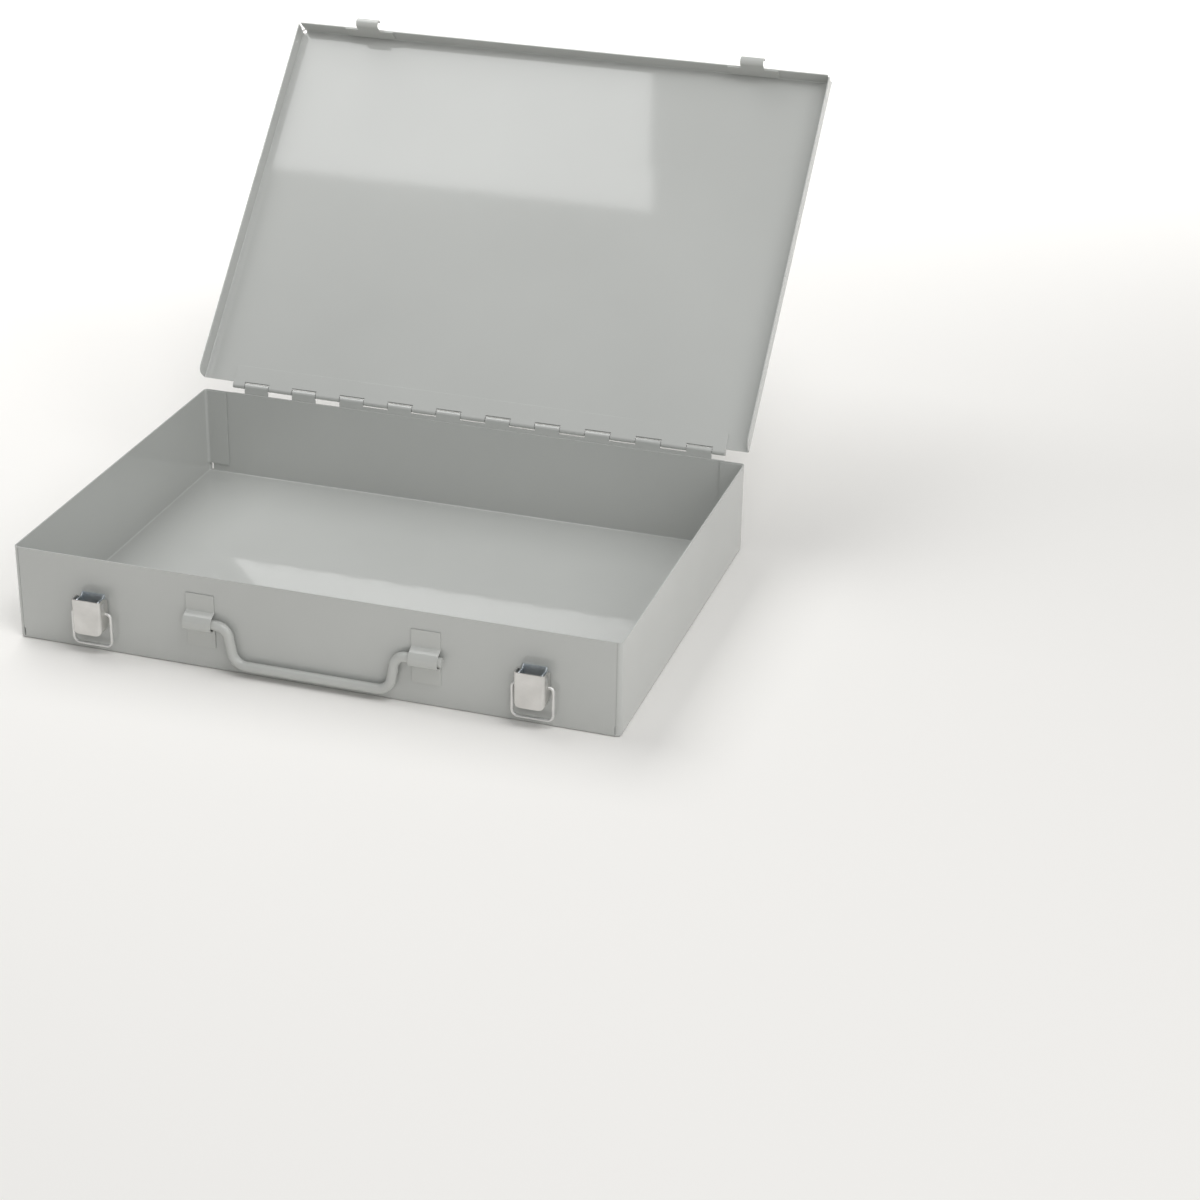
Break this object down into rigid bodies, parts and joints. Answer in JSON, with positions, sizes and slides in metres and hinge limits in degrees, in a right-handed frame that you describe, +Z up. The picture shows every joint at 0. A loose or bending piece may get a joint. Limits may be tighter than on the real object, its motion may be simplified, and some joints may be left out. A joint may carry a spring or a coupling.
{
  "type": "steel assortment case",
  "caption": "Shallow rectangular sheet-steel case with a hinged tray-shaped lid, over-centre toggle latches with wire bails, and a folding rod carrying handle on the front.",
  "frame": {"origin": "centre of the base's underside, on the surface that the case stands on", "axes": "+X to the right seen from the handle side, +Y from the handle side to the hinge side, +Z up"},
  "size_m": [0.444, 0.5426, 0.3195],
  "materials": {
    "case_paint": "semi-gloss light grey powder paint on sheet steel",
    "hinge_paint": "the same paint over the hinge leaves",
    "handle_paint": "semi-gloss light grey paint on a round steel rod",
    "fitting_paint": "semi-gloss light grey paint on pressed steel fittings",
    "bracket_plating": "satin zinc or nickel plating on the latch brackets",
    "lever_plating": "satin zinc or nickel plating on the latch levers",
    "wire_plating": "satin zinc or nickel plating on steel wire",
    "rivet_plating": "satin zinc or nickel plating on rivet heads",
    "pin_steel": "plain steel hinge pin"
  },
  "bodies": {
    "base": {"base_shell": "case_paint", "hinge_leaf_base": "hinge_paint", "hinge_pin": "pin_steel", "latch_bracket_left": "bracket_plating", "latch_bracket_right": "bracket_plating", "latch_pin_left": "rivet_plating", "latch_pin_right": "rivet_plating", "handle_bracket_left": "fitting_paint", "handle_bracket_right": "fitting_paint"},
    "lid": {"lid_shell": "case_paint", "hinge_leaf_lid": "hinge_paint", "lid_hook_left": "fitting_paint", "lid_hook_right": "fitting_paint"},
    "handle": {"carry_handle": "handle_paint"},
    "lever_left": {"latch_lever_left": "lever_plating"},
    "lever_right": {"latch_lever_right": "lever_plating"},
    "bail_left": {"latch_bail_left": "wire_plating"},
    "bail_right": {"latch_bail_right": "wire_plating"}
  },
  "joints": [
    {"name": "lid_hinge", "type": "hinge", "parent": "base", "child": "lid", "pos_m": [0, 0.1573, 0.0756], "axis": [-1, 0, 0], "range_deg": [-134, 46]},
    {"name": "handle_swing", "type": "hinge", "parent": "base", "child": "handle", "pos_m": [0.002, -0.1588, 0.0363], "axis": [-1, 0, 0], "range_deg": [0, 170]},
    {"name": "lever_left_pivot", "type": "hinge", "parent": "base", "child": "lever_left", "pos_m": [-0.1605, -0.163, 0.039], "axis": [1, 0, 0], "range_deg": [-95, 0]},
    {"name": "bail_left_pivot", "type": "hinge", "parent": "lever_left", "child": "bail_left", "pos_m": [-0.1605, -0.16, 0.0315], "axis": [-1, 0, 0], "range_deg": [0, 182.3]},
    {"name": "lever_right_pivot", "type": "hinge", "parent": "base", "child": "lever_right", "pos_m": [0.1605, -0.163, 0.039], "axis": [1, 0, 0], "range_deg": [-95, 0]},
    {"name": "bail_right_pivot", "type": "hinge", "parent": "lever_right", "child": "bail_right", "pos_m": [0.1605, -0.16, 0.0315], "axis": [-1, 0, 0], "range_deg": [0, 182.3]}
  ]
}
